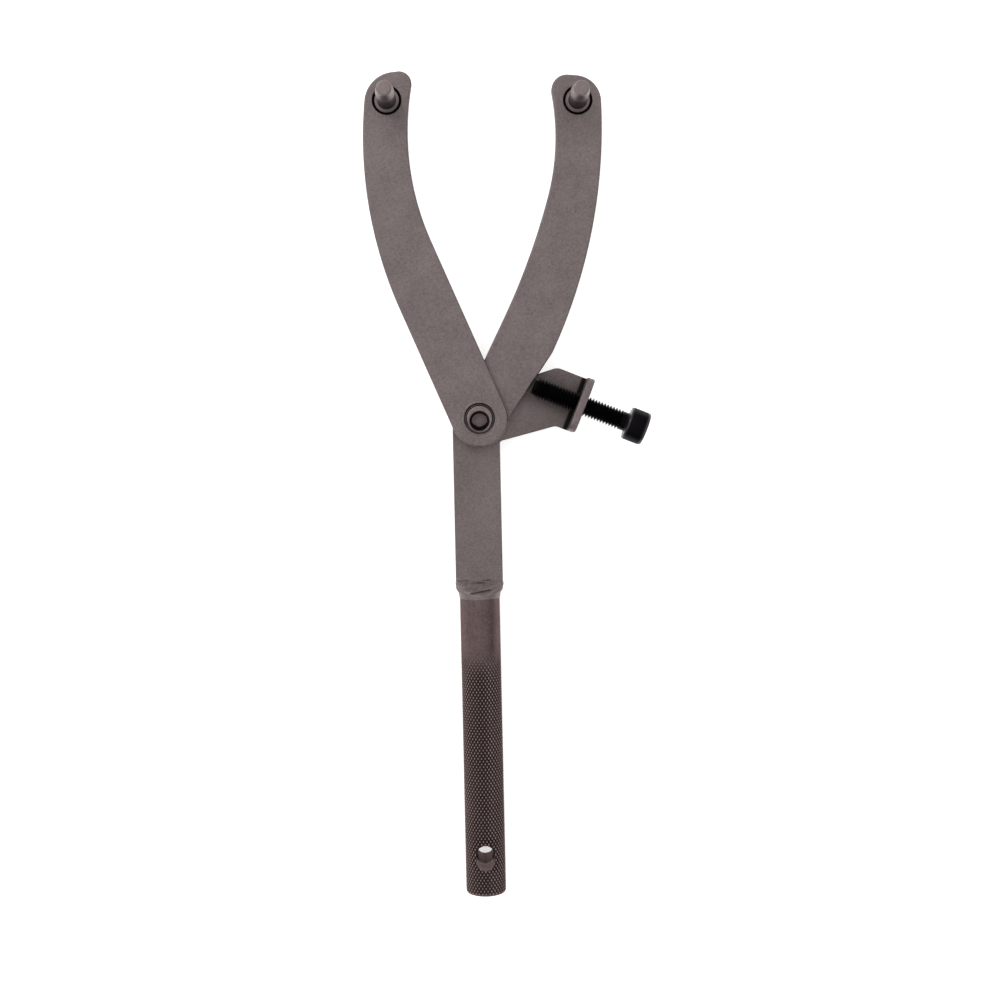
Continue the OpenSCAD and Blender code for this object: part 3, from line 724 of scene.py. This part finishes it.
def plate_painted_shade(x, y, z):
    """Painted shade in the inside of the bend, fading up the flange's inner face, and a fainter
    painted shade over the wing, darkest under the screw, where its shadow falls."""
    along_screw, beside = turned(np.stack([x, y], axis=-1), SCREW_ANGLE).T
    top = span("handle_plate")[1][2]
    face = smooth((along_screw - BEND_START + 0.4) / 0.8)
    face = face * smooth((FLANGE_AT + 0.3 - along_screw) / 0.2)
    up = smooth((z - 4.7) / 0.3) * smooth((top - 0.25 - z) / 0.3)
    dark = face * up * (0.5 + 0.44 * smooth((13 - z) / 6))
    # Painted shade over the wing, darkest in the screw's shadow
    wing_and_screw_shade = 0.16 + 0.25 * np.exp(-((beside - SCREW_LEVER) / 5.5) ** 2)
    wing = smooth((along_screw - 10) / 7) * smooth((x - 12) / 4)
    return np.maximum(dark, wing_and_screw_shade * wing * (z < 5.1))


def rod_shade_and_crests(x, y, z):
    """Painted shade in the knurl's grooves, by how far they lie under the rod's surface, at the
    mouth of the cross hole and a little inside it, and lighter on the knurl's crests."""
    low, high = span("handle_rod")
    x, y, z = x + BAR_SHIFT, y - low[1], z - low[2] - ROD_R
    deep = (ROD_R - np.hypot(x, z)) / 0.36
    hole = np.hypot(x, y - CROSS_FROM_END)
    dish = from_dish(x, y, z >= 0)
    rough = (hole > CROSS_R + 0.7) * (dish > DISH_R + 0.1) * (y > 1.0)
    rough = rough * smooth((high[1] - low[1] - 24 - y) / 14)
    # Painted shade in the knurl's grooves, lighter on its crests
    groove_shade_crest_light = 0.95 * np.clip(deep, 0, 1) - 0.75 * np.clip(1 - deep / 0.2, 0, 1)
    mouth = near_ring(x, y, (0, CROSS_FROM_END), CROSS_R - 0.05, CROSS_R + 0.5)
    mouth = 0.8 * mouth * (z > 0) * (dish > 3)
    return groove_shade_crest_light * rough + mouth + 0.2 * (hole < CROSS_R)


def weld_crease_shade(x, y, z):
    """Painted shade in the creases, whatever the height."""
    return 0.75 * weld_creases(x, y)


def screw_painted_highlight(x, y, z):
    """Painted highlight round both edges of the head: bell curves of the way along the screw."""
    up = turned(np.stack([x, y], axis=-1), SCREW_ANGLE)[:, 0] - SCREW_START - SCREW_LEN
    return -0.8 * (np.exp(-((up - 0.3) / 0.4) ** 2) + np.exp(-((up - 7.5) / 0.45) ** 2))


# ---------------------------------------------------------------- materials


def linear(code):
    """An sRGB hex colour as linear red, green, blue and alpha."""
    c = np.array([int(code[i:i + 2], 16) for i in (1, 3, 5)]) / 255
    c = np.where(c <= 0.04045, c / 12.92, ((c + 0.055) / 1.055) ** 2.4)
    return (*c.tolist(), 1.0)


def add(tree, kind, settings=None, inputs=None):
    """Adds a node. An input is a value, or a node's output that it is linked to."""
    node = tree.nodes.new(kind)
    for key, value in (settings or {}).items():
        setattr(node, key, value)
    for key, value in (inputs or {}).items():
        if isinstance(value, bpy.types.NodeSocket):
            tree.links.new(value, node.inputs[key])
        else:
            node.inputs[key].default_value = value
    return node


def per_mm(size):
    """A texture's scale for features of that size in millimetres, on coordinates in metres."""
    return 1000 / size


def metal(name, dark, light, rough, grain, relief, bright="#9a8c88", pits=0.0,
          edge_tint="#ffffff", black="#141011"):
    """A metal finish: its colour goes between two tones with a fine grain and a slow cloud, its
    roughness follows the grain, and the grain's relief is in millimetres. It turns black where
    the mesh gives painted shade, bright where it gives a painted highlight or rubbed wear, and
    black in pits, which are the middles of wide Voronoi cells. The edge tint is its colour at a
    low angle, and black is the painted shade's colour."""
    cloud_size, cell_size, fine_share, shaded_rough = 11, 26, 0.75, 0.75
    made = bpy.data.materials.new(name)
    made.use_nodes = True
    tree = made.node_tree
    tree.nodes.clear()
    place = add(tree, "ShaderNodeTexCoord").outputs["Object"]
    fine = add(tree, "ShaderNodeTexNoise", inputs={
        "Vector": place, "Scale": per_mm(grain), "Detail": 3.0, "Roughness": 0.7}).outputs[0]
    cloud = add(tree, "ShaderNodeTexNoise", inputs={
        "Vector": place, "Scale": per_mm(cloud_size), "Detail": 3.0,
        "Roughness": 0.5}).outputs[0]
    slow = add(tree, "ShaderNodeMath", {"operation": "MULTIPLY"}, {
        0: cloud, 1: 1 - fine_share}).outputs[0]
    both = add(tree, "ShaderNodeMath", {"operation": "MULTIPLY_ADD"}, {
        0: fine, 1: fine_share, 2: slow}).outputs[0]
    tone = add(tree, "ShaderNodeMapRange", inputs={
        "Value": both, "From Min": 0.33, "From Max": 0.67}).outputs[0]
    clean = add(tree, "ShaderNodeMix", {"data_type": "RGBA"}, {
        "Factor": tone, 6: linear(dark), 7: linear(light)}).outputs[2]
    # The mesh's share per point: above 0 painted shade, below 0 painted highlight or rubbed wear
    painted_light_and_wear = add(tree, "ShaderNodeAttribute", {"attribute_name": "painted_light_and_wear"}).outputs["Fac"]
    highlight_or_rubbed = add(tree, "ShaderNodeMapRange", inputs={
        "Value": painted_light_and_wear, "From Min": 0.0, "From Max": -1.0}).outputs[0]
    highlighted_or_worn = add(tree, "ShaderNodeMix", {"data_type": "RGBA"}, {
        "Factor": highlight_or_rubbed, 6: clean, 7: linear(bright)}).outputs[2]
    cell = add(tree, "ShaderNodeTexVoronoi", inputs={
        "Vector": place, "Scale": per_mm(cell_size), "Randomness": 1.0}).outputs["Distance"]
    pit = add(tree, "ShaderNodeMapRange", inputs={
        "Value": cell, "From Min": 0.022, "From Max": 0.012, "To Max": pits}).outputs[0]
    shade_or_pit = add(tree, "ShaderNodeMath", {"operation": "MAXIMUM"}, {
        0: painted_light_and_wear, 1: pit}).outputs[0]
    mix = add(tree, "ShaderNodeMix", {"data_type": "RGBA"}, {
        "Factor": shade_or_pit, 6: highlighted_or_worn, 7: linear(black)}).outputs[2]
    gloss = add(tree, "ShaderNodeMapRange", inputs={
        "Value": fine, "From Min": 0.3, "From Max": 0.7, "To Min": rough[0],
        "To Max": rough[1]}).outputs[0]
    dull = add(tree, "ShaderNodeMix", {"data_type": "FLOAT"}, {
        "Factor": shade_or_pit, 2: gloss, 3: shaded_rough}).outputs[0]
    bump = add(tree, "ShaderNodeBump", inputs={
        "Height": fine, "Distance": relief / 1000, "Strength": 1.0}).outputs[0]
    shader = add(tree, "ShaderNodeBsdfPrincipled", inputs={
        "Base Color": mix, "Roughness": dull, "Metallic": 1.0, "Normal": bump,
        "Specular Tint": linear(edge_tint)})
    add(tree, "ShaderNodeOutputMaterial", inputs={"Surface": shader.outputs[0]})
    return made


# Mild steel plate, sheared, tumbled and phosphated: an even matt grey with a fine mottle of
# about the grain's own size, and on the arms a pit here and there
arm_finish = metal("phosphated_steel_tumbled", "#645b5a", "#867b7a", (0.42, 0.6), 0.8, 0.04,
                   pits=0.9)
plate_finish = metal("phosphated_steel_plate", "#625959", "#837877", (0.42, 0.6), 0.8, 0.04)
# Mild steel bar, turned, knurled and phosphated: darker, browner and smoother than the plate,
# with painted shade in the knurl's grooves and its crests lighter
rod_finish = metal("phosphated_steel_knurled", "#514443", "#6f6060", (0.36, 0.5), 0.9, 0.03,
                   bright="#9a8682", edge_tint="#d9cbc8", black="#1b1110")
# Steel bar, turned and phosphated: a slight sheen, and painted shade down the straight part,
# in rings where the tool left ridges
pin_finish = metal("phosphated_steel_turned", "#6e6464", "#847976", (0.34, 0.5), 0.7, 0.02)
# Mild steel rivet, rolled over cold after the bath: the smoothest of the grey parts
rivet_finish = metal("phosphated_steel_riveted", "#665c5b", "#857a78", (0.32, 0.46), 0.7, 0.04)
# Weld metal, brushed and phosphated: a shade lighter than the bar, matt and slightly rough
weld_finish = metal("weld_metal_brushed", "#665c5b", "#8a7f7e", (0.42, 0.6), 0.8, 0.05)
# Alloy steel screw with a black oxide finish and oil on it: nearly black, with a soft sheen
# and a painted highlight round the head's edges
screw_finish = metal("black_oxide_steel", "#080708", "#121013", (0.24, 0.36), 0.6, 0.01,
                     bright="#5a555c")


# ---------------------------------------------------------------- pieces

z_left, z_right = span("left_arm")[0][2], span("right_arm")[0][2]
left_pin_at = turned([0, LEFT_REACH], LEFT_ANGLE)
right_pin_at = turned([0, RIGHT_REACH], -RIGHT_ANGLE)
# The rolling tool's ring, pressed into the face, and the recess for the rivet's rim
left_pivot = [(7.5, 0), (7.25, 0.02), (7.05, 0.09), (6.85, 0.02), (6.6, 0),
              (RECESS_R + 0.2, 0), (RECESS_R, 0.2), (RECESS_R, RECESS_DEEP),
              (PIVOT_HOLE_R, RECESS_DEEP)]
right_pivot = [(PIVOT_HOLE_R + 0.2, 0), (PIVOT_HOLE_R, 0.2), (PIVOT_HOLE_R, RECESS_DEEP)]
left_grids = arm(left_outline(), LEFT_REACH, LEFT_LEAN, z_left, z_left + ARM_T, left_pivot)
right_grids = arm(right_outline(), RIGHT_REACH, RIGHT_LEAN, z_right, z_right + ARM_T,
                  right_pivot)
piece("left_arm_plate", [turned(g, LEFT_ANGLE) for g in left_grids], "left_arm",
      arm_finish, "left_arm", arm_painted_shade(left_pin_at, RECESS_R + 0.05))
piece("right_arm_plate", [turned(g * (-1, 1, 1), -RIGHT_ANGLE) for g in right_grids],
      "right_arm", arm_finish, "right_arm",
      arm_painted_shade(right_pin_at, PIVOT_HOLE_R + 0.05))
piece("left_face_pin", face_pin(left_pin_at, z_left), "left_arm", pin_finish,
      "left_pin", pin_shade_and_wear(z_left))
piece("right_face_pin", face_pin(right_pin_at, z_right), "right_arm", pin_finish,
      "right_pin", pin_shade_and_wear(z_right))
piece("pivot_rivet_rolled", rivet(), "handle", rivet_finish, "pivot_rivet",
      rivet_painted_shade)
piece("bent_handle_plate", plate(), "handle", plate_finish, "handle_plate",
      plate_painted_shade)
piece("knurled_rod", rod(), "handle", rod_finish, "handle_rod", rod_shade_and_crests)
piece("weld_seam", weld(), "handle", weld_finish, "weld_bead", weld_crease_shade)
piece("socket_screw", screw_in_place(), "screw", screw_finish,
      "adjusting_screw", screw_painted_highlight)


# ---------------------------------------------------------------- floor, light and camera


def floor():
    """A level square far wider than the tool, just under it."""
    half_side, gap = 30000.0, 0.2
    z = 1000 * cad_low.z - gap
    x, y = np.meshgrid([-half_side, half_side], [-half_side, half_side])
    return np.stack([x, y, 0 * x + z], axis=-1)


ground = bpy.data.meshes.new("floor")
ground.from_pydata((floor().reshape(-1, 3) / 1000).tolist(), [], [[0, 1, 3, 2]])
ground_thing = bpy.data.objects.new("floor", ground)
bpy.context.scene.collection.objects.link(ground_thing)
# Uncoated paper, lit a little from within so that it stays white under the tool
paper = bpy.data.materials.new("white_paper")
paper.use_nodes = True
sheet = paper.node_tree.nodes["Principled BSDF"].inputs
sheet["Base Color"].default_value = (0.9, 0.9, 0.9, 1)
sheet["Roughness"].default_value = 0.9
sheet["Emission Color"].default_value = (1, 1, 1, 1)
sheet["Emission Strength"].default_value = 0.6
ground.materials.append(paper)

world = bpy.data.worlds.new("studio")
world.use_nodes = True
bpy.context.scene.world = world
tree = world.node_tree
tree.nodes.clear()
# The sky is brightest towards the tips' left, and dimmer low at the handle's right
BRIGHT_WAY = (-0.38, 0.47, 0.80)
way = add(tree, "ShaderNodeTexCoord").outputs["Generated"]
facing = add(tree, "ShaderNodeVectorMath", {"operation": "DOT_PRODUCT"}, {
    0: way, 1: BRIGHT_WAY}).outputs["Value"]
share = add(tree, "ShaderNodeMapRange", {"interpolation_type": "SMOOTHSTEP"}, {
    "Value": facing, "From Min": -0.35, "From Max": 0.62, "To Min": 0.38,
    "To Max": 1.02}).outputs[0]
sky = add(tree, "ShaderNodeBackground", inputs={"Color": (1, 1, 1, 1), "Strength": share})
add(tree, "ShaderNodeOutputWorld", inputs={"Surface": sky.outputs[0]})


def lamp(name, place, aim, size, power):
    """A square soft light at a place, turned to face the aim, in metres and watts."""
    data = bpy.data.lights.new(name, "AREA")
    data.size, data.energy = size, power
    thing = bpy.data.objects.new(name, data)
    thing.location = place
    way = Vector(aim) - Vector(place)
    thing.rotation_euler = way.to_track_quat("-Z", "Y").to_euler()
    bpy.context.scene.collection.objects.link(thing)


lamp("key_light", (-1.2, 1.5, 2.2), (0, -0.02, 0), 0.7, 12.0)

# Straight above the pivot, turned a little, with the frame shifted towards the handle
camera = bpy.data.cameras.new("camera")
camera.sensor_width = 36
camera.lens = 52.45
camera.shift_x, camera.shift_y = 0.030, -0.054
camera.clip_start, camera.clip_end = 0.01, 20
eye = bpy.data.objects.new("camera", camera)
eye.location = (-0.0040, -0.0108, 0.5903)
eye.rotation_euler = (0, 0, math.radians(-1.27))
bpy.context.scene.collection.objects.link(eye)
bpy.context.scene.camera = eye
bpy.context.scene.view_settings.view_transform = "Standard"
